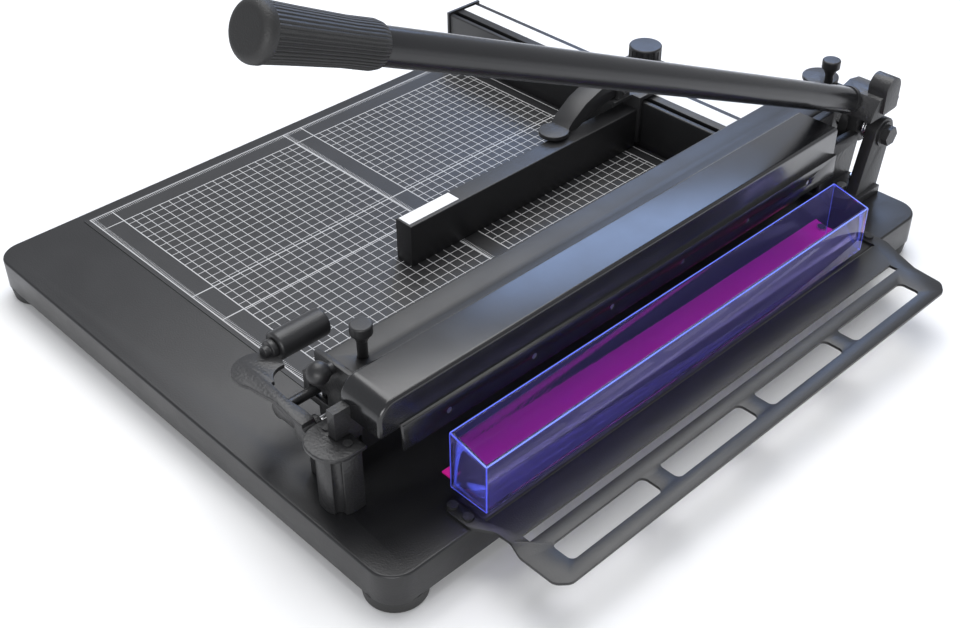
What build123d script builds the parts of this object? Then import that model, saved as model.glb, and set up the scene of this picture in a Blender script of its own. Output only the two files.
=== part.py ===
from build123d import *
from math import cos, pi, radians, sin
import os

# Guillotine paper cutter for sheets up to A3.
# Every shape is drawn in the table frame: x from the left edge of the base, y from its front
# edge, z from the table top.  The knife runs along y, at the right.  When a piece is written it
# is moved once, so that the part's origin lies on the floor under the middle of its outline.

# ---- middle of the whole cutter, from the end of the grip to the rear shoe ----
CENTRE_X = 309.75
CENTRE_Y = 330.3445

# ---- base ----
BASE_W = 538.0
BASE_D = 650.0
BASE_H = 28.0
FOOT_H = 12.0
CORNER_R = 22.0
SHELL_T = 2.5
FOOT_INSET = 25.0
FOOT_R = 25.0

# ---- printed mat and cutting stick ----
MAT_X = (12.0, 396.0)
MAT_Y = (84.0, 549.0)
MAT_T = 0.6
STICK_X = (481.0, 500.0)
STICK_Y = (98.0, 564.0)
STICK_H = 11.0

# ---- knife beam and blade ----
BEAM_X = (445.0, 487.0)
BEAM_Y = (40.0, 562.0)
BEAM_Z = (73.0, 100.0)
BEAM_T = 3.5
STRIP_X = 490.0
STRIP_Z = 53.0
BLADE_X = (483.0, 487.0)
BLADE_Y = (62.0, 560.0)
BLADE_Z = 50.8
BLADE_SCREW_Z = 64.0
TONGUE_X = (448.5, 456.5)
TONGUE_Y = (26.0, 42.0)
TONGUE_LOW = 24.5
TAIL_X = (449.0, 457.5)
TAIL_Y = (556.0, 603.0)

# ---- handle ----
PIVOT_Y = 643.0
PIVOT_Z = 63.0
HANDLE_ANGLE = 24.07
HANDLE_SWING = 22.5
DRIVE_R = 128.9
TUBE_X = 460.5
TUBE_R = 12.0
TUBE_OFFSET = 20.0
TUBE_START = 41.0
GRIP_START = 629.0
GRIP_END = 722.0
BOLT_R = 6.0

# ---- press bar and its lever ----
PRESS_X = (397.0, 441.0)
PRESS_Y = (60.0, 660.0)
PRESS_Z = (19.0, 82.0)
PAD_Z = 17.0
SCREW_X = 420.0
SCREW_Y = (82.0, 648.0)
ROD_Y = (130.0, 540.0)
LEVER_X = 424.0
LEVER_Z = 50.0
LEVER_Y = (19.5, 30.8)
LINK_R = 30.0
LEVER_TOP = 60.0

# ---- front post, rear post ----
POST_X = (436.0, 469.0)
POST_Y = (14.0, 38.0)
POST_Z = 57.0
CAP_T = 3.5
EAR_LEFT = (449.0, 458.0)
EAR_RIGHT = (477.0, 488.0)

# ---- rear rail and back gauge ----
RAIL_X = (4.0, 391.0)
RAIL_Y = (551.0, 595.0)
RAIL_Z = 49.0
FENCE_X = (257.0, 277.0)
FENCE_Y = (252.0, 546.0)
FENCE_Z = 42.0
SADDLE_X = (212.0, 280.0)
SADDLE_Y = (546.0, 622.0)
CAM_X = (242.0, 264.0)
CAM_Y = 536.0
CAM_Z = 62.0
LOCK_X = 234.0
LOCK_Y = 606.0

# ---- scrap tray and side frame ----
TRAY_X = (503.0, 540.0)
TRAY_Y = (87.0, 543.0)
TRAY_Z = 8.0
TRAY_T = 2.5
FRAME_Y = (79.0, 558.0)
FRAME_T = 2.5


# ---- drawing helpers ----
def block(x0, x1, y0, y1, z0, z1):
    """A box between two corners."""
    return Pos((x0 + x1) / 2, (y0 + y1) / 2, (z0 + z1) / 2) * Box(x1 - x0, y1 - y0, z1 - z0)


def rod_x(x0, x1, y, z, radius):
    return Pos((x0 + x1) / 2, y, z) * Rot(0, 90, 0) * Cylinder(radius, x1 - x0)


def rod_y(x, y0, y1, z, radius):
    return Pos(x, (y0 + y1) / 2, z) * Rot(90, 0, 0) * Cylinder(radius, y1 - y0)


def rod_z(x, y, z0, z1, radius):
    return Pos(x, y, (z0 + z1) / 2) * Cylinder(radius, z1 - z0)


def plate_x(points, x0, x1):
    """A flat plate between x0 and x1 whose outline is given as (y, z) points."""
    face = make_face(Polyline(*points, close=True))
    return extrude(Plane.YZ.offset(x0) * face, amount=x1 - x0)


def plate_z(points, z0, z1):
    """A flat plate between z0 and z1 whose outline is given as (x, y) points."""
    face = make_face(Polyline(*points, close=True))
    return extrude(Plane.XY.offset(z0) * face, amount=z1 - z0)


def hexagon_x(x0, x1, y, z, across):
    """A hexagonal head or nut with its axis along x."""
    face = RegularPolygon(across / 2, 6, major_radius=False)
    return extrude(Plane.YZ.offset(x0) * Pos(y, z) * face, amount=x1 - x0)


def slot_x(x0, x1, ya, yb, z, radius):
    """A level slot with round ends, cut along x."""
    middle = block(x0, x1, ya, yb, z - radius, z + radius)
    return middle + rod_x(x0, x1, ya, z, radius) + rod_x(x0, x1, yb, z, radius)


def swung(points):
    """Handle outline given with the handle down, as (y, z) from the pivot, raised to rest."""
    turn = radians(HANDLE_SWING)
    raised = []
    for y, z in points:
        raised.append((PIVOT_Y + y * cos(turn) + z * sin(turn), PIVOT_Z - y * sin(turn) + z * cos(turn)))
    return raised


def on_handle(shape):
    """Places a shape drawn along +z from the pivot so that it lies along the handle's axis."""
    tilt = radians(HANDLE_ANGLE)
    y = PIVOT_Y + TUBE_OFFSET * sin(tilt)
    z = PIVOT_Z + TUBE_OFFSET * cos(tilt)
    return Pos(TUBE_X, y, z) * Rot(90 - HANDLE_ANGLE, 0, 0) * shape


def stack(radius, z0, z1):
    """A cylinder from z0 to z1 on the z axis."""
    return Pos(0, 0, (z0 + z1) / 2) * Cylinder(radius, z1 - z0)


# ---- base ----
def foot_places():
    xs = (FOOT_INSET, BASE_W - FOOT_INSET)
    ys = (FOOT_INSET, BASE_D - FOOT_INSET)
    return [(x, y) for x in xs for y in ys]


def base_shell():
    """The pressed steel base, open underneath, with the slots the knife's guides drop into."""
    outer = block(0, BASE_W, 0, BASE_D, -BASE_H, 0)
    outer = fillet(outer.edges().filter_by(Axis.Z), CORNER_R)
    outer = fillet(outer.faces().sort_by(Axis.Z)[-1].edges(), 2.0)
    inner = block(SHELL_T, BASE_W - SHELL_T, SHELL_T, BASE_D - SHELL_T, -BASE_H, -SHELL_T)
    inner = fillet(inner.edges().filter_by(Axis.Z), CORNER_R - SHELL_T)
    body = outer - inner - block(*STICK_X, *STICK_Y, -BASE_H, 1)
    for x, y in foot_places():
        boss = rod_z(x, y, -BASE_H, -1, 12) - rod_z(x, y, -BASE_H, -BASE_H + 14, 2.5)
        body = body + boss
    return body - guide_openings(-BASE_H, 1)


def guide_openings(z0, z1):
    front = block(TONGUE_X[0] - 0.6, TONGUE_X[1] + 0.6, TONGUE_Y[0] - 0.6, TONGUE_Y[1] + 1, z0, z1)
    rear = block(TAIL_X[0] - 0.5, TAIL_X[1] + 0.5, TAIL_Y[1] - 13, TAIL_Y[1] + 0.6, z0, z1)
    return [front, rear]


def base_ribs():
    """Two channels welded across the inside of the base."""
    ribs = []
    for y in (200.0, 450.0):
        outside = block(SHELL_T + 1, STICK_X[0] - 6, y - 20, y + 20, -BASE_H + 3, -SHELL_T)
        inside = block(SHELL_T, STICK_X[0], y - 18, y + 18, -BASE_H + 3, -SHELL_T - 2)
        ribs.append(outside - inside)
    return ribs


def foot(x, y):
    low = -BASE_H - FOOT_H
    body = Pos(x, y, low) * extrude(Circle(FOOT_R - 1.5), amount=FOOT_H, taper=-8)
    body = fillet(body.faces().sort_by(Axis.Z)[0].edges(), 1.5)
    return body - rod_z(x, y, low, low + 6, 7) - rod_z(x, y, low, -BASE_H, 2.5)


def foot_screw(x, y):
    low = -BASE_H - FOOT_H
    return rod_z(x, y, low + 2.5, low + 6, 5) + rod_z(x, y, low + 6, -BASE_H + 12, 2.5)


def table_mat():
    return block(*MAT_X, *MAT_Y, 0, MAT_T)


def stick_channel():
    """The steel channel under the table that holds the cutting stick."""
    x0, x1 = STICK_X
    outside = block(x0 - 2, x1 + 2, *STICK_Y, -STICK_H - 3, -SHELL_T)
    return outside - block(x0, x1, *STICK_Y, -STICK_H - 1, -SHELL_T)


def stick_ends():
    return [STICK_Y[0] + 7, STICK_Y[1] - 7]


def cutting_stick():
    x0, x1 = STICK_X
    bar = block(x0 + 0.2, x1 - 0.2, STICK_Y[0] + 1, STICK_Y[1] - 1, -STICK_H - 1, 0)
    middle = (x0 + x1) / 2
    return bar - [rod_z(middle, y, -STICK_H - 1, 0, 2) for y in stick_ends()]


def stick_screws():
    middle = (STICK_X[0] + STICK_X[1]) / 2
    return [rod_z(middle, y, 0, 1.8, 4) + rod_z(middle, y, -STICK_H - 1, 0, 2) for y in stick_ends()]


# ---- front post ----
def d_column(x0, x1, y0, y1, z0, z1):
    """A column that is flat at the back and rounded at the front."""
    solid = block(x0, x1, y0, y1, z0, z1)
    front = solid.edges().filter_by(Axis.Z).group_by(Axis.Y)[0]
    return fillet(front, min((x1 - x0) * 0.46, (y1 - y0) * 0.8))


def front_slot(z0, z1):
    """The slot for the beam's front guide, open at the post's flat back."""
    return block(TONGUE_X[0] - 0.3, TONGUE_X[1] + 0.3, TONGUE_Y[0] - 0.3, POST_Y[1] + 3, z0, z1)


def front_post():
    body = d_column(*POST_X, *POST_Y, 0, POST_Z)
    groove = rod_z(POST_X[1] - 4, POST_Y[0] + 4, -1, POST_Z + 1, 4)
    ear = block(LEVER_X - 9, POST_X[0] + 4, 31.2, 36, 0, LEVER_Z)
    ear = ear + rod_y(LEVER_X, 31.2, 36, LEVER_Z, 7.2)
    return body + ear - groove - front_slot(-1, POST_Z + 1) - rod_y(LEVER_X, 31, 37, LEVER_Z, 4)


def front_cap():
    body = d_column(POST_X[0] - 3, POST_X[1] + 5, POST_Y[0] - 8, POST_Y[1] + 0.6, POST_Z, POST_Z + CAP_T)
    body = fillet(body.faces().sort_by(Axis.Z)[-1].edges(), 1.0)
    return body - front_slot(POST_Z - 1, POST_Z + CAP_T + 1)


def cap_screws():
    """Two low round heads that hold the cap on the front post."""
    top = POST_Z + CAP_T
    return [rod_z(x, POST_Y[1] - 8, top, top + 1.4, 3.5) for x in (POST_X[0] + 6, POST_X[1] - 5)]


# ---- rear post ----
def ear(x0, x1):
    """One upright of the rear post, leaning back to the pivot."""
    outline = [(612, 0), (646, 0), (PIVOT_Y + 13, PIVOT_Z - 7), (PIVOT_Y - 14, PIVOT_Z + 4), (624, 50)]
    return plate_x(outline, x0, x1) + rod_x(x0, x1, PIVOT_Y, PIVOT_Z, 15)


def rear_post():
    x0, x1 = EAR_LEFT[0] - 4, EAR_RIGHT[1] + 4
    flange = block(x0, x1, TAIL_Y[1] - 17, 647, 0, 8)
    column = block(EAR_LEFT[0] - 3, EAR_LEFT[1] + 3, TAIL_Y[1] - 10, 616, 0, POST_Z)
    groove = block(TAIL_X[0] - 0.3, TAIL_X[1] + 0.3, TAIL_Y[1] - 14, TAIL_Y[1] + 0.4, -1, POST_Z + 1)
    body = flange + column + ear(*EAR_LEFT) + ear(*EAR_RIGHT)
    body = body - groove
    return body - rod_x(x0, x1, PIVOT_Y, PIVOT_Z, BOLT_R)


def rear_post_bolts():
    places = [(471.0, 597.0), (469.0, 640.0), (470.0, 617.0)]
    return [rod_z(x, y, 8, 12, 4.5) for x, y in places]


def pivot_bolt():
    x0, x1 = EAR_LEFT[0], EAR_RIGHT[1]
    washer = rod_x(x1, x1 + 2, PIVOT_Y, PIVOT_Z, 12)
    head = hexagon_x(x1 + 2, x1 + 8.5, PIVOT_Y, PIVOT_Z, 16)
    return washer + head + rod_x(x0 - 6, x1, PIVOT_Y, PIVOT_Z, BOLT_R)


def pivot_nut():
    x0 = EAR_LEFT[0]
    return hexagon_x(x0 - 5.5, x0, PIVOT_Y, PIVOT_Z, 19) - rod_x(x0 - 6, x0, PIVOT_Y, PIVOT_Z, BOLT_R)


def return_spring():
    """The torsion spring round the pivot bolt that lifts the handle and the knife."""
    coil = Helix(pitch=2.5, height=6.25, radius=9.5)
    section = Plane(origin=coil @ 0, z_dir=coil % 0) * Circle(1.0)
    spring = sweep(section, path=coil)
    return Pos(469.2, PIVOT_Y, PIVOT_Z) * Rot(0, 90, 0) * spring


# ---- handle ----
def drive_place():
    """The (y, z) of the drive roller with the handle raised."""
    tilt = radians(HANDLE_SWING / 2)
    return PIVOT_Y - DRIVE_R * cos(tilt), PIVOT_Z + DRIVE_R * sin(tilt)


def handle_hub():
    """The casting on the pivot, with the tube's socket and the arm that drives the knife."""
    y, z = PIVOT_Y, PIVOT_Z
    head = [(-28, 21), (-8, 21), (12, 22), (15, 32), (9, 40), (-6, 43), (-18, 40), (-24, 31)]
    head = plate_x([(y + a, z + b) for a, b in head], EAR_LEFT[0] - 1, EAR_RIGHT[1])
    lobe = rod_x(EAR_RIGHT[0] - 5, EAR_RIGHT[1] + 3, y - 3, z + 47, 11)
    lobe = lobe + block(EAR_RIGHT[0] - 5, EAR_RIGHT[1] + 3, y - 14, y + 8, z + 26, z + 47)
    neck = block(EAR_LEFT[1] + 0.5, EAR_RIGHT[0] - 9.5, y - 15, y + 13, z, z + 24)
    barrel = rod_x(EAR_LEFT[1] + 0.5, EAR_RIGHT[0] - 9.5, y, z, 15)
    socket = on_handle(stack(TUBE_R - 2, 20, TUBE_START + 30))
    body = head + lobe + neck + barrel + socket + drive_arm()
    return body - rod_x(EAR_LEFT[0], EAR_RIGHT[1], y, z, BOLT_R + 0.06)


def drive_arm():
    """The cranked arm: it passes under the beam's top plate when the handle is down."""
    outline = [(-12, -6), (-46, -18.4), (-126.4, -18.2), (-126.4, -32), (-50, -36), (-8, -14)]
    y, z = drive_place()
    arm = plate_x(swung(outline), EAR_LEFT[1] + 4, EAR_LEFT[1] + 12)
    return arm + rod_x(EAR_LEFT[1] + 4, EAR_LEFT[1] + 12, y, z, 6.9)


def drive_roller():
    y, z = drive_place()
    x0 = EAR_LEFT[1] + 12
    return rod_x(x0, x0 + 0.5, y, z, 4) + rod_x(x0 + 0.5, x0 + 11, y, z, 7)


def handle_tube():
    return on_handle(stack(TUBE_R, TUBE_START, GRIP_END - 12) - stack(TUBE_R - 2, TUBE_START, GRIP_END - 12))


def tube_collar():
    return on_handle(stack(TUBE_R + 0.8, TUBE_START - 5, TUBE_START) - stack(TUBE_R - 2, TUBE_START - 5, TUBE_START))


def handle_grip():
    """The moulded grip: a ribbed sleeve that widens towards its end."""
    length = GRIP_END - GRIP_START - 8
    outline = [(TUBE_R, 0), (14.0, 0), (15.0, 5), (14.8, length * 0.3), (16.2, length * 0.75)]
    outline += [(17.2, length), (TUBE_R, length)]
    sleeve = revolve(Plane.XZ * make_face(Polyline(*outline, close=True)), Axis.Z)
    count = 24
    for i in range(count):
        groove = Pos(16.1, 0, 12) * Rot(0, 1.4, 0) * stack(0.8, 0, length - 20)
        sleeve = sleeve - Rot(0, 0, 360 / count * i) * groove
    return on_handle(Pos(0, 0, GRIP_START) * sleeve)


def grip_cap():
    end = stack(17.8, GRIP_END - 8, GRIP_END + 1)
    end = fillet(end.faces().sort_by(Axis.Z)[-1].edges(), 6)
    return on_handle(end - stack(TUBE_R, GRIP_END - 9, GRIP_END - 8))


# ---- knife ----
def blade_screw_places():
    count = 6
    first = BLADE_Y[0] + 38
    step = (BLADE_Y[1] - BLADE_Y[0] - 76) / (count - 1)
    return [first + step * i for i in range(count)]


def knife_beam():
    """The beam over the blade: an inverted channel with a rounded nose and a cover strip."""
    x0, x1 = BEAM_X
    y0, y1 = BEAM_Y
    body = block(x0, x1, y0, y1, *BEAM_Z)
    body = fillet(body.edges().filter_by(Axis.X).group_by(Axis.Z)[-1].sort_by(Axis.Y)[0], 15)
    body = fillet(body.edges().filter_by(Axis.Y).group_by(Axis.Z)[-1], 3.0)
    inside = block(x0 + BEAM_T, x1 - 4, y0 + 10, y1 + 1, BEAM_Z[0] - 1, BEAM_Z[1] - BEAM_T)
    strip = block(x1, STRIP_X, y0 + 18, y1, STRIP_Z, BEAM_Z[0] + 2)
    strip = strip + block(x1 - 1, x1 + 1, y0 + 18, y1, BEAM_Z[0], BEAM_Z[0] + 2)
    body = body - inside + strip + drive_yoke()
    return body - [rod_x(x1, STRIP_X + 1, y, BLADE_SCREW_Z, 2.5) for y in blade_screw_places()]


def drive_yoke():
    """The slotted block in the beam in which the handle's roller pushes the knife."""
    y, z = drive_place()
    x0, x1 = 474.0, BEAM_X[1] - 4
    plate = block(x0, x1, y - 24, y + 22, z - 16, BEAM_Z[1] - BEAM_T)
    return plate - slot_x(x0 - 1, x1, y - 3.2, y + 0.6, z, 7.5)


def front_guide():
    """The tongue at the beam's nose that runs in the front post."""
    body = block(*TONGUE_X, TONGUE_Y[0], BEAM_Y[0], TONGUE_LOW, BEAM_Z[1] - 16)
    return body + block(TONGUE_X[0], TONGUE_X[1], BEAM_Y[0], BEAM_Y[0] + 9, TONGUE_LOW + 28, BEAM_Z[0])


def rear_guide():
    """The tail block at the beam's far end, with the tongue that runs in the rear post."""
    tail = block(TAIL_X[0], TAIL_X[1], TAIL_Y[0] - 30, TAIL_Y[1], 76, BEAM_Z[1] - BEAM_T - 8)
    return tail + block(TAIL_X[0], TAIL_X[1], TAIL_Y[1] - 12, TAIL_Y[1], TONGUE_LOW + 1, 78)


def blade():
    x0, x1 = BLADE_X
    profile = [(x0, BLADE_Z), (x0 + 0.3, BLADE_Z), (x1, BLADE_Z + 8), (x1, BEAM_Z[0]), (x0, BEAM_Z[0])]
    face = make_face(Polyline(*profile, close=True))
    body = extrude(Plane.XZ.offset(-BLADE_Y[1]) * face, amount=BLADE_Y[1] - BLADE_Y[0])
    return body - [rod_x(x0 - 1, x1 + 1, y, BLADE_SCREW_Z, 2.5) for y in blade_screw_places()]


def blade_screws():
    x0 = BLADE_X[0]
    screws = []
    for y in blade_screw_places():
        screws.append(rod_x(x0 - 3, x0, y, BLADE_SCREW_Z, 4.5) + rod_x(x0, STRIP_X - 0.5, y, BLADE_SCREW_Z, 2.5))
    return screws


# ---- press bar ----
def press_bar():
    """The hollow bar that holds the sheets down beside the knife."""
    outside = block(*PRESS_X, *PRESS_Y, *PRESS_Z)
    outside = fillet(outside.edges().filter_by(Axis.Y).group_by(Axis.Z)[-1], 3)
    inside = block(PRESS_X[0] + 4, PRESS_X[1] - 4, *PRESS_Y, PRESS_Z[0] + 6, PRESS_Z[1] - 5)
    holes = [rod_z(SCREW_X, y, PRESS_Z[1] - 10, PRESS_Z[1] + 1, 4.06) for y in SCREW_Y]
    guides = [rod_z(SCREW_X, y, PRESS_Z[0] - 1, PRESS_Z[0] + 7, 5.06) for y in ROD_Y]
    return outside - inside - holes - guides


def press_pad():
    """The rubber strip under the bar."""
    strip = block(PRESS_X[0] + 2, PRESS_X[1] - 2, PRESS_Y[0] + 2, 566, PAD_Z, PRESS_Z[0])
    return strip - [rod_z(SCREW_X, y, PAD_Z - 1, PRESS_Z[0] + 1, 5.4) for y in ROD_Y]


def press_end():
    """The front end plate with the level slot that the lever's link pin moves."""
    y1 = PRESS_Y[0]
    body = block(PRESS_X[0] + 2, PRESS_X[1] - 3, y1 - 5, y1, PRESS_Z[0] + 2, 90)
    lug = block(LEVER_X - LINK_R - 12, LEVER_X, y1 - 5, y1, LEVER_Z - 12, LEVER_Z + 12)
    slot = block(LEVER_X - LINK_R - 5, LEVER_X - 14, y1 - 6, y1 + 1, LEVER_Z - 5.2, LEVER_Z + 5.2)
    return body + lug - slot


def press_shoe():
    """The rear end plate with its round shoe, beside the rear thumb screw."""
    y0 = PRESS_Y[1]
    wall = block(PRESS_X[0] + 2, PRESS_X[1] - 3, y0, y0 + 4, PRESS_Z[0] + 2, PRESS_Z[1])
    disc = rod_z(405, y0 - 2, PRESS_Z[1], PRESS_Z[1] + 3.5, 17)
    disc = disc - rod_z(SCREW_X, SCREW_Y[1], PRESS_Z[1] - 1, PRESS_Z[1] + 4, 4.4)
    return [wall, disc]


def press_knob():
    """The ball on the bar's front end."""
    y1 = PRESS_Y[0] - 5
    return Pos(419, y1 - 12, 88) * Sphere(9) + rod_y(419, y1 - 8, y1, 86, 4.5)


def guide_rods():
    return [rod_z(SCREW_X, y, 0, 59, 5) for y in ROD_Y]


def thumb_screw(y):
    top = PRESS_Z[1]
    shank = rod_z(SCREW_X, y, top - 18, top + 16, 4)
    neck = Pos(SCREW_X, y, top + 14) * extrude(Circle(4.2), amount=6, taper=-24)
    head = fillet(rod_z(SCREW_X, y, top + 20, top + 29, 8.5).edges(), 1.5)
    return shank + neck + head


# ---- clamp lever ----
def lever_pin():
    return rod_y(LEVER_X, LEVER_Y[0] + 3.5, 44, LEVER_Z, 4)


def clamp_lever():
    """The flat curved lever: a disc, a narrow neck and the barrel on its pin."""
    y0, y1 = LEVER_Y
    thick = 3.5
    disc = rod_z(357, 34, LEVER_TOP - thick, LEVER_TOP, 19.4)
    bite = rod_z(380, 48, LEVER_TOP - thick - 1, LEVER_TOP + 1, 14)
    outline = [(360, 17), (378, 19), (392, 21.5), (404, 20.5), (412, y0), (427, y0), (427, y1)]
    outline += [(412, y1), (400, 29.5), (384, 30.5), (368, 33)]
    neck = plate_z(outline, LEVER_TOP - thick, LEVER_TOP)
    web = block(LEVER_X - 6, LEVER_X + 3, y0, y1, LEVER_Z, LEVER_TOP - 1)
    arm = block(LEVER_X - LINK_R, LEVER_X, y0 + 3, y1, LEVER_Z - 5, LEVER_Z + 5)
    arm = arm + rod_y(LEVER_X - LINK_R, y0 + 3, y1, LEVER_Z, 6.5)
    barrel = rod_y(LEVER_X, y0, y1, LEVER_Z, 7.2)
    link = rod_y(LEVER_X - LINK_R, y1, PRESS_Y[0] - 0.5, LEVER_Z, 4)
    body = (disc - bite) + neck
    body = body + (barrel + web + arm + link)
    return body - rod_y(LEVER_X, y0 + 3, y1 + 1, LEVER_Z, 4.06)


def grip_post():
    """The collar and stud that carry the lever's grip."""
    stud = rod_y(347, 46, 70, LEVER_TOP + 2, 4.5)
    collar = rod_y(347, 51, 56, LEVER_TOP + 2, 7.5)
    return stud + collar


def lever_grip():
    body = rod_y(347, 56.3, 102, LEVER_TOP + 2, 11.5)
    body = fillet(body.edges(), 2.5)
    return body - rod_y(347, 56, 70.2, LEVER_TOP + 2, 4.5)


# ---- rear rail and back gauge ----
def rear_rail():
    """The raised hollow rail with its T-slot."""
    y0, y1 = RAIL_Y
    body = block(*RAIL_X, y0, y1, 0, RAIL_Z)
    body = fillet(body.edges().filter_by(Axis.X).group_by(Axis.Z)[-1], 1.5)
    hollow = block(*RAIL_X, y0 + 3, y1 - 3, 3, RAIL_Z - 16)
    throat = block(*RAIL_X, 556, 562, RAIL_Z - 6, RAIL_Z + 1)
    pocket = block(*RAIL_X, 554, 564, RAIL_Z - 12, RAIL_Z - 5)
    return body - hollow - throat - pocket


def rail_ends():
    ends = []
    for x in (RAIL_X[0] - 3, RAIL_X[1]):
        ends.append(block(x, x + 3, RAIL_Y[0] - 1, RAIL_Y[1] + 1, 0, RAIL_Z + 2))
    return ends


def rail_scale():
    return block(RAIL_X[0] + 2, RAIL_X[1] - 2, 571, 588, RAIL_Z, RAIL_Z + 0.4)


def rail_screws():
    ends = (RAIL_X[0] - 4.5, RAIL_X[1] + 3)
    return [rod_x(x, x + 1.5, y, 20, 3.5) for x in ends for y in (562, 584)]


def fence():
    """The back gauge: a tall hollow bar square to the knife."""
    x0, x1 = FENCE_X
    body = block(x0, x1, *FENCE_Y, 1.0, FENCE_Z)
    body = fillet(body.edges().filter_by(Axis.Y).group_by(Axis.Z)[-1], 1.2)
    return body - block(x0 + 3, x1 - 3, FENCE_Y[0] + 3, FENCE_Y[1], 4, FENCE_Z - 4)


def fence_label():
    return block(FENCE_X[0] + 2, FENCE_X[1] - 4, FENCE_Y[0] + 2, FENCE_Y[0] + 60, FENCE_Z, FENCE_Z + 0.4)


def slider():
    """The saddle that carries the fence along the rail, with its T-slot key."""
    plate = block(*SADDLE_X, *SADDLE_Y, RAIL_Z + 2.5, RAIL_Z + 6.5)
    plate = fillet(plate.edges().filter_by(Axis.Z).group_by(Axis.Y)[-1], 10)
    apron = block(FENCE_X[0] - 12, FENCE_X[1] + 3, FENCE_Y[1], FENCE_Y[1] + 4, 6, RAIL_Z + 6.5)
    shelf = block(CAM_X[0] - 5, CAM_X[1] + 5, CAM_Y - 14, SADDLE_Y[0] + 2, RAIL_Z + 2.5, RAIL_Z + 6.5)
    key = block(SADDLE_X[0] + 8, SADDLE_X[1] - 8, 557, 561, RAIL_Z - 8, RAIL_Z + 4)
    body = plate + apron + shelf + key
    for x in (CAM_X[0] - 4.5, CAM_X[1] + 0.5):
        body = body + block(x, x + 4, CAM_Y - 8, CAM_Y + 8, RAIL_Z + 4, CAM_Z) + rod_x(x, x + 4, CAM_Y, CAM_Z, 8)
    body = body - rod_z(LOCK_X, LOCK_Y, RAIL_Z, RAIL_Z + 8, 4.06)
    return body - rod_x(CAM_X[0] - 6, CAM_X[1] + 6, CAM_Y, CAM_Z, 3)


def cam_pin():
    return rod_x(CAM_X[0] - 6, CAM_X[1] + 6, CAM_Y, CAM_Z, 3)


def cam_lever():
    """The arched lever with its round finger tab; its barrel is the cam."""
    outline = [(537, 68), (532, 74), (524, 76), (506, 73), (486, 66), (468, 54), (462, 48), (462, 44)]
    outline += [(474, 44), (496, 52), (516, 56.5), (530, 58), (536, 62)]
    arch = plate_x(outline, *CAM_X)
    barrel = rod_x(*CAM_X, CAM_Y, CAM_Z, 6.2)
    tab = rod_z(255, 452, 44, 48, 14.5)
    return arch + barrel + tab - rod_x(CAM_X[0] - 1, CAM_X[1] + 1, CAM_Y, CAM_Z, 3.06)


def lock_knob():
    """The round knob behind the rail that holds the gauge at its place."""
    base = RAIL_Z + 6.8
    body = fillet(rod_z(LOCK_X, LOCK_Y, base, base + 19.5, 16.5).edges(), 1.5)
    for i in range(18):
        turn = 2 * pi / 18 * i
        body = body - rod_z(LOCK_X + 17 * cos(turn), LOCK_Y + 17 * sin(turn), base + 3, base + 17, 1.2)
    return body + rod_z(LOCK_X, LOCK_Y, 34, base, 4)


# ---- scrap tray and side frame ----
def scrap_tray():
    """The clear tray in front of the knife: four walls and a floor, open on top."""
    x0, x1 = TRAY_X
    y0, y1 = TRAY_Y
    body = block(x0, x1, y0, y1, TRAY_Z, 60) - block(x0 + TRAY_T, x1 - TRAY_T, y0 + TRAY_T, y1 - TRAY_T, TRAY_Z + TRAY_T, 61)
    slope = make_face(Polyline((x0 + TRAY_T, 60), (x0 + TRAY_T, 61), (x1 + 1, 61), (x1 + 1, 51), (x1, 51), close=True))
    body = body - extrude(Plane.XZ.offset(-y1 - 1) * slope, amount=y1 - y0 + 2)
    return body - [rod_z(x, y, TRAY_Z - 1, TRAY_Z + TRAY_T + 1, 2.1) for x, y in tray_places()]


def tray_places():
    return [(520.0, y) for y in (TRAY_Y[0] + 30, (TRAY_Y[0] + TRAY_Y[1]) / 2, TRAY_Y[1] - 30)]


def tray_spacers():
    return [rod_z(x, y, 0, TRAY_Z, 7) - rod_z(x, y, 0, TRAY_Z, 2.1) for x, y in tray_places()]


def tray_screws():
    top = TRAY_Z + TRAY_T
    return [rod_z(x, y, top, top + 2.5, 4) + rod_z(x, y, 0, top, 2.1) for x, y in tray_places()]


def side_frame():
    """The stamped sheet frame beside the knife, with four windows."""
    y0, y1 = FRAME_Y
    outline = [(508, y0 - 6), (536, y0 - 6), (552, y0 + 4), (566, y0 + 5), (580, y0), (612, y0), (620, y0 + 9)]
    outline += [(620, y1 - 10), (612, y1), (584, y1 + 3), (562, y1 + 12), (546, y1 + 20), (508, y1 + 22)]
    sheet = plate_z(outline, 0, FRAME_T)
    sheet = fillet(sheet.edges().filter_by(Axis.Z), 9)
    sheet = sheet - block(500, 541, y0 + 7, y1 + 8, -1, FRAME_T + 1)
    sheet = sheet - block(567, 575, y0 + 15, y1 - 9, -1, FRAME_T + 1)
    for i in range(4):
        start = 102 + 112 * i
        window = block(587, 607, start, start + 95, -1, FRAME_T + 1)
        sheet = sheet - fillet(window.edges().filter_by(Axis.Z), 5)
    return sheet


def frame_screws():
    y0, y1 = FRAME_Y
    return [rod_z(x, y, FRAME_T, FRAME_T + 2, 4) for x in (514, 530) for y in (y0, y1 + 15)]


# ---- writing ----
def write(name, shape):
    """Moves a finished piece from the table frame to the part's frame and writes it."""
    pieces = shape if isinstance(shape, list) else [shape]
    move = Pos(-CENTRE_X, -CENTRE_Y, BASE_H + FOOT_H)
    solids = []
    for piece in pieces:
        solids += (move * piece).solids()
    result = solids[0] if len(solids) == 1 else Compound(children=solids)
    export_step(result, f"parts/{name}.step")


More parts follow.
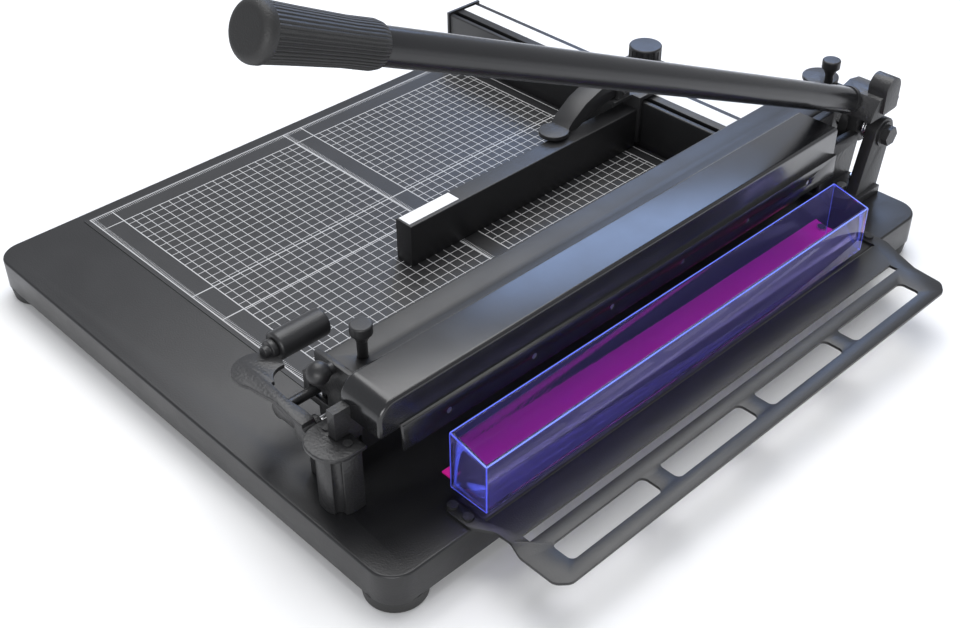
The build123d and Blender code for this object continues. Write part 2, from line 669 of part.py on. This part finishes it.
def main():
    os.makedirs("parts", exist_ok=True)
    write("base_shell", base_shell())
    write("base_ribs", base_ribs())
    write("feet", [foot(x, y) for x, y in foot_places()])
    write("foot_screws", [foot_screw(x, y) for x, y in foot_places()])
    write("table_mat", table_mat())
    write("stick_channel", stick_channel())
    write("cutting_stick", cutting_stick())
    write("stick_screws", stick_screws())
    write("front_post", front_post())
    write("front_cap", front_cap())
    write("cap_screws", cap_screws())
    write("rear_post", rear_post())
    write("rear_post_bolts", rear_post_bolts())
    write("pivot_bolt", pivot_bolt())
    write("pivot_nut", pivot_nut())
    write("return_spring", return_spring())
    write("handle_hub", handle_hub())
    write("drive_roller", drive_roller())
    write("handle_tube", handle_tube())
    write("tube_collar", tube_collar())
    write("handle_grip", handle_grip())
    write("grip_cap", grip_cap())
    write("knife_beam", knife_beam())
    write("front_guide", front_guide())
    write("rear_guide", rear_guide())
    write("blade", blade())
    write("blade_screws", blade_screws())
    write("press_bar", press_bar())
    write("press_pad", press_pad())
    write("press_end", press_end())
    write("press_shoe", press_shoe())
    write("press_knob", press_knob())
    write("guide_rods", guide_rods())
    write("thumb_screw_front", thumb_screw(SCREW_Y[0]))
    write("thumb_screw_rear", thumb_screw(SCREW_Y[1]))
    write("lever_pin", lever_pin())
    write("clamp_lever", clamp_lever())
    write("grip_post", grip_post())
    write("lever_grip", lever_grip())
    write("rear_rail", rear_rail())
    write("rail_ends", rail_ends())
    write("rail_scale", rail_scale())
    write("rail_screws", rail_screws())
    write("fence", fence())
    write("fence_label", fence_label())
    write("slider", slider())
    write("cam_pin", cam_pin())
    write("cam_lever", cam_lever())
    write("lock_knob", lock_knob())
    write("scrap_tray", scrap_tray())
    write("tray_spacers", tray_spacers())
    write("tray_screws", tray_screws())
    write("side_frame", side_frame())
    write("frame_screws", frame_screws())


main()
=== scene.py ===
# %% [markdown]
# # A guillotine paper cutter
#
# The cutter is a black steel table with a long handle at the right.  Its moving skeleton comes
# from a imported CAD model, and this lesson dresses that skeleton: softened edges, finishes for
# every surface, printed lines on the table, a plain floor and soft light.

# %% Load the skeleton
from math import cos, radians, sin

import bmesh
import bpy
from mathutils import Matrix, Vector


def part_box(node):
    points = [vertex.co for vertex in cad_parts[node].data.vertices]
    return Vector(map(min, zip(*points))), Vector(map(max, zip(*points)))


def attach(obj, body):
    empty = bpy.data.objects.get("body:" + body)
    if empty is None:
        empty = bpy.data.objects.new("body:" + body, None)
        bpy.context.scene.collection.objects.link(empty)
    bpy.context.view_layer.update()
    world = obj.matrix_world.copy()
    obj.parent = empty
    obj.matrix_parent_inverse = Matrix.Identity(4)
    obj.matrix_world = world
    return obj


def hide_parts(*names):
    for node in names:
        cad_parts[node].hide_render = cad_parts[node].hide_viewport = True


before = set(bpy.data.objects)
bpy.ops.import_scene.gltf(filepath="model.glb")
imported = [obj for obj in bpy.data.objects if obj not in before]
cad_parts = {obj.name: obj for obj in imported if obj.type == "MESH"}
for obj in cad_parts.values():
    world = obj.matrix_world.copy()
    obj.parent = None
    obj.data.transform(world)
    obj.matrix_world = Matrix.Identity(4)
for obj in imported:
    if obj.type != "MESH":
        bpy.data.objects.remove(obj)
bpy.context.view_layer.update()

# %% [markdown]
# ## One ruler for everything
#
# The drawings of the cutter count millimetres from the left front corner of the table, with
# height counted from the table top.  Blender works in metres from the part's own origin.  One
# small function turns the first into the second, so that later cells can use the drawing's
# numbers.

# %% From the drawing's millimetres to Blender's metres
MM = 0.001
TABLE_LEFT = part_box("base_shell")[0][0]
TABLE_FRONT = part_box("base_shell")[0][1]
TABLE_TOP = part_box("base_shell")[1][2]


def at(x, y, z):
    """A point of the drawing, in metres in the part's frame."""
    return Vector((TABLE_LEFT + x * MM, TABLE_FRONT + y * MM, TABLE_TOP + z * MM))


print("table corner at", tuple(round(v, 4) for v in at(0, 0, 0)))

# %% [markdown]
# ## Effects shared by several finishes
#
# Paint, plastic and metal all break up the light a little.  Two node groups do this: one gives a
# fine grain as a height, the other a slow, cloudy change from place to place.  They put out
# values only, and each material decides what to do with them.


# %% Build a node group
def new_group(title, inputs, outputs):
    """An empty shader group with float inputs and float outputs."""
    group = bpy.data.node_groups.new(title, "ShaderNodeTree")
    for label, value in inputs:
        socket = group.interface.new_socket(name=label, in_out="INPUT", socket_type="NodeSocketFloat")
        socket.default_value = value
    for label in outputs:
        group.interface.new_socket(name=label, in_out="OUTPUT", socket_type="NodeSocketFloat")
    group_in = group.nodes.new("NodeGroupInput")
    group_out = group.nodes.new("NodeGroupOutput")
    return group, group_in, group_out


def noise_effect(title, scale, detail, rough):
    """Noise read in Object coordinates, stretched between Low and High."""
    inputs = [("Scale", scale), ("Low", 0.0), ("High", 1.0)]
    group, group_in, group_out = new_group(title, inputs, ["Value"])
    nodes, links = group.nodes, group.links
    place = nodes.new("ShaderNodeTexCoord")
    noise = nodes.new("ShaderNodeTexNoise")
    noise.inputs["Detail"].default_value = detail
    noise.inputs["Roughness"].default_value = rough
    spread = nodes.new("ShaderNodeMapRange")
    spread.inputs["From Min"].default_value = 0.3
    spread.inputs["From Max"].default_value = 0.7
    links.new(place.outputs["Object"], noise.inputs["Vector"])
    links.new(group_in.outputs["Scale"], noise.inputs["Scale"])
    links.new(noise.outputs["Fac"], spread.inputs["Value"])
    links.new(group_in.outputs["Low"], spread.inputs["To Min"])
    links.new(group_in.outputs["High"], spread.inputs["To Max"])
    links.new(spread.outputs["Result"], group_out.inputs["Value"])
    return group


GRAIN = noise_effect("fine_grain", 1500.0, 2.0, 0.5)
CLOUD = noise_effect("slow_clouds", 14.0, 4.0, 0.6)
print("groups:", GRAIN.name, CLOUD.name)

# %% [markdown]
# ## A finish from few numbers
#
# Most surfaces here are one kind of finish: a base colour that drifts slightly, a roughness that
# drifts with it, and a fine grain as bump.  A function builds that once.  Constant values such as
# coat and index are set straight on the shader.


# %% Make a finish
def use_group(tree, group, **values):
    node = tree.nodes.new("ShaderNodeGroup")
    node.node_tree = group
    for label, value in values.items():
        node.inputs[label].default_value = value
    return node


def finish(title, colour, drift=0.15, rough=(0.3, 0.4), grain=900.0, bump=0.05, metal=0.0, **fixed):
    """A material: colour that drifts by a share, roughness between two values, grain as bump."""
    made = bpy.data.materials.new(title)
    made.use_nodes = True
    tree = made.node_tree
    shader = tree.nodes["Principled BSDF"]
    shader.inputs["Metallic"].default_value = metal
    for label, value in fixed.items():
        shader.inputs[label.replace("_", " ")].default_value = value
    tint = use_group(tree, CLOUD, Scale=11.0)
    dark = [c * (1.0 - drift) for c in colour] + [1.0]
    light = [min(1.0, c * (1.0 + drift)) for c in colour] + [1.0]
    mix = tree.nodes.new("ShaderNodeMix")
    mix.data_type = "RGBA"
    mix.inputs["A"].default_value = dark
    mix.inputs["B"].default_value = light
    tree.links.new(tint.outputs["Value"], mix.inputs["Factor"])
    tree.links.new(mix.outputs["Result"], shader.inputs["Base Color"])
    sheen = use_group(tree, CLOUD, Scale=31.0, Low=rough[0], High=rough[1])
    tree.links.new(sheen.outputs["Value"], shader.inputs["Roughness"])
    height = use_group(tree, GRAIN, Scale=grain)
    relief = tree.nodes.new("ShaderNodeBump")
    relief.inputs["Strength"].default_value = bump
    relief.inputs["Distance"].default_value = 0.0005
    tree.links.new(height.outputs["Value"], relief.inputs["Height"])
    tree.links.new(relief.outputs["Normal"], shader.inputs["Normal"])
    return made


def paint_glow(material, colour, strength):
    """A painted glow: weak emission that makes a plastic look lit from inside."""
    shader = material.node_tree.nodes["Principled BSDF"]
    shader.inputs["Emission Color"].default_value = colour
    shader.inputs["Emission Strength"].default_value = strength


enamel = finish("satin_enamel", (0.011, 0.011, 0.012), 0.2, (0.3, 0.38), 700.0, 0.12)
gloss = finish(
    "gloss_enamel", (0.008, 0.008, 0.009), 0.2, (0.2, 0.27), 300.0, 0.02,
    Coat_Weight=0.3, Coat_Roughness=0.18,
)
tube_paint = finish("tube_enamel", (0.009, 0.009, 0.01), 0.2, (0.2, 0.27), 500.0, 0.04)
cast = finish("cast_enamel", (0.02, 0.02, 0.021), 0.25, (0.32, 0.42), 420.0, 0.3)
rubber = finish("grip_rubber", (0.018, 0.018, 0.018), 0.2, (0.5, 0.6), 900.0, 0.25)
plastic = finish("black_plastic", (0.016, 0.016, 0.017), 0.2, (0.34, 0.44), 800.0, 0.12)
anodised = finish("black_anodised", (0.013, 0.013, 0.014), 0.2, (0.36, 0.44), 1300.0, 0.1)
zinc = finish("zinc_plate", (0.56, 0.56, 0.57), 0.1, (0.22, 0.34), 600.0, 0.1, 1.0)
ground = finish("ground_steel", (0.6, 0.6, 0.62), 0.08, (0.2, 0.32), 1500.0, 0.15, 1.0)
chrome = finish("bright_chrome", (0.75, 0.75, 0.76), 0.05, (0.05, 0.1), 500.0, 0.02, 1.0)
magenta = finish("magenta_nylon", (0.95, 0.02, 0.4), 0.08, (0.4, 0.5), 700.0, 0.1)
# Painted glow: weak magenta emission makes the cutting stick look lit from inside.
paint_glow(magenta, (0.8, 0.02, 0.35, 1.0), 0.2)
film = finish("white_film", (0.8, 0.8, 0.8), 0.03, (0.4, 0.5), 900.0, 0.05)
print(len(bpy.data.materials), "materials so far")

# %% [markdown]
# ## The clear blue tray
#
# The tray is tinted acrylic.  A transmissive shader lets the magenta stick and the black table
# show through, and the cut edges of acrylic collect light, which is painted on them as their own paler
# finish with a weak glow.

# %% Acrylic
acrylic = finish(
    "blue_acrylic", (0.5, 0.46, 1.0), 0.04, (0.02, 0.04), 300.0, 0.01,
    Transmission_Weight=0.96, IOR=1.25,
)
# Painted glow: a blue edge finish with weak emission, standing in for light leaving the cut edges.
painted_light_edge = finish("painted_light_edge", (0.2, 0.28, 1.0), 0.05, (0.2, 0.3), 300.0, 0.01)
paint_glow(painted_light_edge, (0.12, 0.2, 1.0, 1.0), 0.2)
print("acrylic:", acrylic.name, painted_light_edge.name)

# %% [markdown]
# ## The printed table
#
# The mat carries a white grid of 10 mm squares, with finer rulers at the left, front and middle.
# Lines this thin are easiest as mathematics: for each direction the distance to the nearest line
# is worked out from the Object coordinates and compared with half the line's width.


# %% Helpers for line work
def math_node(tree, operation, a, b=None):
    node = tree.nodes.new("ShaderNodeMath")
    node.operation = operation
    for index, value in enumerate((a, b)):
        if value is None:
            continue
        if isinstance(value, (int, float)):
            node.inputs[index].default_value = value
        else:
            tree.links.new(value, node.inputs[index])
    return node.outputs[0]


def near_line(tree, coordinate, start, step, width):
    """1 where the coordinate is within half a width of start plus a whole number of steps."""
    shifted = math_node(tree, "DIVIDE", math_node(tree, "SUBTRACT", coordinate, start), step)
    whole = math_node(tree, "ROUND", shifted)
    away = math_node(tree, "ABSOLUTE", math_node(tree, "SUBTRACT", shifted, whole))
    return math_node(tree, "LESS_THAN", away, width / 2 / step)


def between(tree, coordinate, low, high):
    above = math_node(tree, "GREATER_THAN", coordinate, low)
    below = math_node(tree, "LESS_THAN", coordinate, high)
    return math_node(tree, "MULTIPLY", above, below)


# %% Printed mat
mat_print = finish("printed_mat", (0.016, 0.016, 0.017), 0.15, (0.36, 0.44), 800.0, 0.1)
tree = mat_print.node_tree
place = tree.nodes.new("ShaderNodeTexCoord")
split = tree.nodes.new("ShaderNodeSeparateXYZ")
tree.links.new(place.outputs["Object"], split.inputs["Vector"])
x, y = split.outputs["X"], split.outputs["Y"]
left, front = at(15, 89, 0)[0], at(15, 89, 0)[1]
right, rear = at(391, 89, 0)[0], at(15, 545, 0)[1]
inner_left, inner_front = left + 0.022, front + 0.022
band_low, band_high = at(0, 310, 0)[1], at(0, 332, 0)[1]
rear_ruler = rear - 0.012
step, thin, tick = 0.01, 0.0007, 0.0045
fine_step, fine, border, single = 0.002, 0.0004, 0.001, 5.0
across = near_line(tree, x, left, step, thin)
along = near_line(tree, y, front, step, thin)
grid = math_node(tree, "MAXIMUM", across, along)
columns = between(tree, x, inner_left, right)
rows = between(tree, y, inner_front, rear_ruler)
inside = math_node(tree, "MULTIPLY", columns, rows)
band = between(tree, y, band_low + 0.0008, band_high - 0.0008)
inside = math_node(tree, "MULTIPLY", inside, math_node(tree, "SUBTRACT", 1.0, band))
lines = math_node(tree, "MULTIPLY", grid, inside)
outer_line = near_line(tree, x, left, single, border)
inner_line = near_line(tree, x, inner_left, single, border)
frame_x = math_node(tree, "MAXIMUM", outer_line, inner_line)
frame_y = near_line(tree, y, front, single, border)
for value in (inner_front, band_low, band_high, rear, rear_ruler):
    frame_y = math_node(tree, "MAXIMUM", frame_y, near_line(tree, y, value, single, border))
borders = math_node(tree, "MAXIMUM", frame_x, frame_y)
for value in (at(179, 0, 0)[0], at(223, 0, 0)[0]):
    borders = math_node(tree, "MAXIMUM", borders, near_line(tree, x, value, single, 0.0012))
left_edge = between(tree, x, left, left + tick)
front_edge = between(tree, y, front, front + tick)
band_edge = between(tree, y, band_low, band_low + tick)
left_ticks = math_node(tree, "MULTIPLY", near_line(tree, y, front, fine_step, fine), left_edge)
front_ticks = math_node(tree, "MULTIPLY", near_line(tree, x, left, fine_step, fine), front_edge)
band_ticks = math_node(tree, "MULTIPLY", near_line(tree, x, left, fine_step, fine), band_edge)
ticks = math_node(tree, "MAXIMUM", math_node(tree, "MAXIMUM", left_ticks, front_ticks), band_ticks)
marks = math_node(tree, "MAXIMUM", math_node(tree, "MAXIMUM", lines, borders), ticks)
wide = between(tree, x, left - 0.0006, right)
deep = between(tree, y, front - 0.0006, rear + 0.0006)
limits = math_node(tree, "MULTIPLY", wide, deep)
marks = math_node(tree, "MULTIPLY", marks, limits)
shader = tree.nodes["Principled BSDF"]
ground_colour = shader.inputs["Base Color"].links[0].from_socket
printed = tree.nodes.new("ShaderNodeMix")
printed.data_type = "RGBA"
printed.inputs["B"].default_value = (0.5, 0.5, 0.5, 1.0)
tree.links.new(marks, printed.inputs["Factor"])
tree.links.new(ground_colour, printed.inputs["A"])
tree.links.new(printed.outputs["Result"], shader.inputs["Base Color"])
print("mat drawn with", len(tree.nodes), "nodes")

# %% [markdown]
# ## The ribbed grip
#
# The grip has fine ribs along its length.  The angle round the tube's axis comes from the Object
# coordinates, and a sine of many times that angle gives the ribs, as bump and as painted shade darkening the
# grooves.

# %% Ribs round the handle's axis
ribbed = finish("ribbed_rubber", (0.024, 0.024, 0.024), 0.2, (0.42, 0.5), 900.0, 0.2)
tree = ribbed.node_tree
place = tree.nodes.new("ShaderNodeTexCoord")
split = tree.nodes.new("ShaderNodeSeparateXYZ")
tree.links.new(place.outputs["Object"], split.inputs["Vector"])
tilt = radians(24.07)
TUBE_ACROSS, PIVOT_ALONG, PIVOT_UP, TUBE_ABOVE_PIVOT, RIBS = 460.5, 643, 63, 20, 40.0
axis_point = at(
    TUBE_ACROSS, PIVOT_ALONG + TUBE_ABOVE_PIVOT * sin(tilt), PIVOT_UP + TUBE_ABOVE_PIVOT * cos(tilt)
)
sideways = math_node(tree, "SUBTRACT", split.outputs["X"], axis_point[0])
rise = math_node(tree, "MULTIPLY", math_node(tree, "SUBTRACT", split.outputs["Z"], axis_point[2]), cos(tilt))
run = math_node(tree, "MULTIPLY", math_node(tree, "SUBTRACT", split.outputs["Y"], axis_point[1]), sin(tilt))
angle = math_node(tree, "ARCTAN2", math_node(tree, "ADD", rise, run), sideways)
wave = math_node(tree, "SINE", math_node(tree, "MULTIPLY", angle, RIBS))
groove = math_node(tree, "MULTIPLY", math_node(tree, "ADD", wave, 1.0), 0.5)
shader = tree.nodes["Principled BSDF"]
relief = tree.nodes.new("ShaderNodeBump")
relief.inputs["Strength"].default_value = 0.7
relief.inputs["Distance"].default_value = 0.0012
tree.links.new(groove, relief.inputs["Height"])
tree.links.new(shader.inputs["Normal"].links[0].from_socket, relief.inputs["Normal"])
tree.links.new(relief.outputs["Normal"], shader.inputs["Normal"])
# Painted shade: the grooves darken towards near black in the colour, where shade would fall between the
# ribs.
shade = tree.nodes.new("ShaderNodeMix")
shade.data_type = "RGBA"
shade.inputs["A"].default_value = (0.004, 0.004, 0.004, 1.0)
tree.links.new(groove, shade.inputs["Factor"])
tree.links.new(shader.inputs["Base Color"].links[0].from_socket, shade.inputs["B"])
tree.links.new(shade.outputs["Result"], shader.inputs["Base Color"])
print("ribs drawn with", len(tree.nodes), "nodes")

# %% [markdown]
# ## Dressing the skeleton's own pieces
#
# Pieces whose shape is right keep their CAD mesh and take a finish.  Pieces with sharp machined
# edges look too perfect, so they are copied, their loose triangles merged into faces, and every
# sharp edge bevelled: a real edge is always a little round and catches a line of light.


# %% Finish for kept pieces
def dress(names, material):
    for name in names:
        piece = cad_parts[name]
        piece.data.materials.clear()
        piece.data.materials.append(material)
    print("dressed", len(names), "with", material.name)


dress(["base_ribs", "stick_channel", "foot_screws", "stick_screws", "blade_screws", "tray_screws"], zinc)
dress(["rear_post_bolts", "pivot_nut", "rail_screws"], zinc)
dress(["return_spring", "guide_rods", "drive_roller", "blade", "cam_pin"], ground)
dress(["lever_pin"], chrome)
dress(["feet", "press_pad"], rubber)
dress(["handle_tube"], tube_paint)
dress(["tube_collar", "rail_ends", "tray_spacers", "press_knob"], plastic)
dress(["cutting_stick"], magenta)
dress(["rail_scale", "fence_label"], film)
dress(["table_mat"], mat_print)
dress(["frame_screws", "cap_screws", "pivot_bolt", "front_guide"], cast)


# %% Soften a CAD piece
def new_piece(title, bm, material, body, smooth=35):
    """A finished object from a bmesh: shaded, given its finish, and riding on its body."""
    mesh = bpy.data.meshes.new(title)
    bm.to_mesh(mesh)
    bm.free()
    mesh.materials.append(material)
    for face in mesh.polygons:
        face.use_smooth = True
    mesh.set_sharp_from_angle(angle=radians(smooth))
    made = bpy.data.objects.new(title, mesh)
    bpy.context.collection.objects.link(made)
    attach(made, body)
    return made


def bevel_sharp(bm, width, segments=2, sharp=40):
    edges = [e for e in bm.edges if len(e.link_faces) == 2 and e.calc_face_angle(0) > radians(sharp)]
    bmesh.ops.bevel(
        bm, geom=edges, offset=width, offset_type="OFFSET", affect="EDGES",
        segments=segments, profile=0.5, material=-1, clamp_overlap=True,
    )


def softened(node, width, material, body):
    """A merged, bevelled copy of a CAD node that is shown in its place."""
    bm = bmesh.new()
    bm.from_mesh(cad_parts[node].data)
    bmesh.ops.remove_doubles(bm, verts=bm.verts, dist=1e-6)
    bmesh.ops.dissolve_limit(bm, angle_limit=radians(0.5), verts=bm.verts, edges=bm.edges)
    bevel_sharp(bm, width * MM)
    made = new_piece(node + "_soft", bm, material, body)
    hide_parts(node)
    print(node, "softened:", len(made.data.polygons), "faces")
    return made


softened("front_post", 0.6, cast, "base")
softened("front_cap", 0.5, cast, "base")
softened("rear_post", 0.8, cast, "base")
softened("handle_hub", 1.5, cast, "handle")
softened("knife_beam", 0.4, gloss, "knife")
softened("rear_guide", 0.8, cast, "knife")
softened("press_bar", 0.4, anodised, "press")
softened("press_end", 0.6, cast, "press")
softened("press_shoe", 0.6, cast, "press")
softened("thumb_screw_front", 0.3, plastic, "front_screw")
softened("thumb_screw_rear", 0.3, plastic, "rear_screw")
softened("clamp_lever", 0.7, cast, "lever")
softened("grip_post", 0.6, cast, "lever")
softened("lever_grip", 0.4, plastic, "lever")
softened("rear_rail", 0.4, anodised, "base")
softened("fence", 0.5, anodised, "gauge")
softened("slider", 0.6, cast, "gauge")
softened("cam_lever", 0.8, plastic, "cam")
softened("lock_knob", 0.3, plastic, "lock")
softened("side_frame", 0.5, enamel, "base")
softened("scrap_tray", 0.3, acrylic, "base")
softened("base_shell", 0.4, enamel, "base")
softened("handle_grip", 0.2, ribbed, "handle")
softened("grip_cap", 0.4, rubber, "handle")

# %% [markdown]
# ## The tray's painted edge light
#
# Light that enters tinted acrylic travels inside the sheet and leaves at its cut edges, which
# therefore look pale.  Thin strips with a painted glow, laid along the edges, stand in for this light.


# %% Edge strips of painted light
def strip(bm, start, end, thick):
    """A thin square bar between two points."""
    direction = end - start
    turn = direction.to_track_quat("Z", "X").to_matrix().to_4x4()
    size = Matrix.Diagonal((thick, thick, direction.length, 1.0))
    bmesh.ops.create_cube(bm, size=1.0, matrix=Matrix.Translation((start + end) / 2) @ turn @ size)


# Painted highlight: thin glowing strips along the tray's edges, standing in for light leaving the cut
# acrylic.
bm = bmesh.new()
corners = [(503.6, 87.6, 59.6), (539.4, 87.6, 51.2), (539.4, 542.4, 51.2), (503.6, 542.4, 59.6)]
for i in range(4):
    strip(bm, at(*corners[i]), at(*corners[(i + 1) % 4]), 0.001)
    x, y, z = corners[i]
    strip(bm, at(x, y, 8.6), at(x, y, z), 0.0009)
for y in (87.6, 542.4):
    strip(bm, at(503.6, y, 8.6), at(539.4, y, 8.6), 0.0009)
bmesh.ops.bevel(
    bm, geom=list(bm.edges), offset=0.0002, offset_type="OFFSET", affect="EDGES",
    segments=1, profile=0.5, material=-1, clamp_overlap=True,
)
painted_light_rims = new_piece("tray_painted_light_rims", bm, painted_light_edge, "base")
print("tray rims:", len(painted_light_rims.data.polygons), "faces")

# %% [markdown]
# ## Floor, light and camera
#
# The cutter stands on a plain white floor under large soft lights, as in a catalogue.  The light
# behind is bluish, because it is what the glossy beam reflects.  The camera looks down at the
# knife's corner with a slightly long lens.

# %% Floor
bm = bmesh.new()
bmesh.ops.create_grid(bm, x_segments=1, y_segments=1, size=6.0)
floor_mesh = bpy.data.meshes.new("floor")
bm.to_mesh(floor_mesh)
bm.free()
floor = bpy.data.objects.new("floor", floor_mesh)
bpy.context.collection.objects.link(floor)
floor.data.materials.append(finish("pale_floor", (0.9, 0.9, 0.9), 0.01, (0.55, 0.65), 60.0, 0.02))
floor.location.z = -0.0005


# %% Lights
def softbox(title, place, target, size, power, tint=(1.0, 1.0, 1.0)):
    lamp = bpy.data.lights.new(title, "AREA")
    lamp.shape = "RECTANGLE"
    lamp.size, lamp.size_y = size
    lamp.energy = power
    lamp.color = tint
    made = bpy.data.objects.new(title, lamp)
    made.location = place
    made.rotation_euler = (Vector(target) - Vector(place)).to_track_quat("-Z", "Y").to_euler()
    bpy.context.collection.objects.link(made)
    return made


softbox("key", (-0.6, 0.6, 2.6), (0, 0, 0), (2.4, 2.4), 70)
softbox("fill", (2.0, -2.2, 1.0), (0, 0, 0), (2.0, 1.2), 40)
softbox("back", (-1.3, 2.0, 1.5), (0, 0.1, 0), (1.2, 0.8), 14, (0.4, 0.58, 1.0))
world = bpy.data.worlds.new("studio")
world.use_nodes = True
world.node_tree.nodes["Background"].inputs["Color"].default_value = (0.93, 0.95, 1.0, 1.0)
world.node_tree.nodes["Background"].inputs["Strength"].default_value = 0.55
bpy.context.scene.world = world
bpy.context.scene.view_settings.view_transform = "Standard"

# %% Camera
AZIMUTH, ELEVATION, ROLL, DISTANCE = radians(46.35), radians(37.60), radians(-0.41), 1.1206
back = Vector((sin(AZIMUTH) * cos(ELEVATION), -cos(AZIMUTH) * cos(ELEVATION), sin(ELEVATION)))
level = Vector((cos(AZIMUTH), sin(AZIMUTH), 0))
up = back.cross(level)
tilted = level * cos(ROLL) + up * sin(ROLL)
upward = up * cos(ROLL) - level * sin(ROLL)
lens = bpy.data.cameras.new("camera")
lens.lens, lens.sensor_width = 50.4, 36.0
camera = bpy.data.objects.new("camera", lens)
axes = Matrix((tilted, upward, back)).transposed().to_4x4()
camera.matrix_world = Matrix.Translation(at(366, 248, 0) + back * DISTANCE) @ axes
bpy.context.collection.objects.link(camera)
bpy.context.scene.camera = camera
print("camera at", tuple(round(v, 3) for v in camera.location))
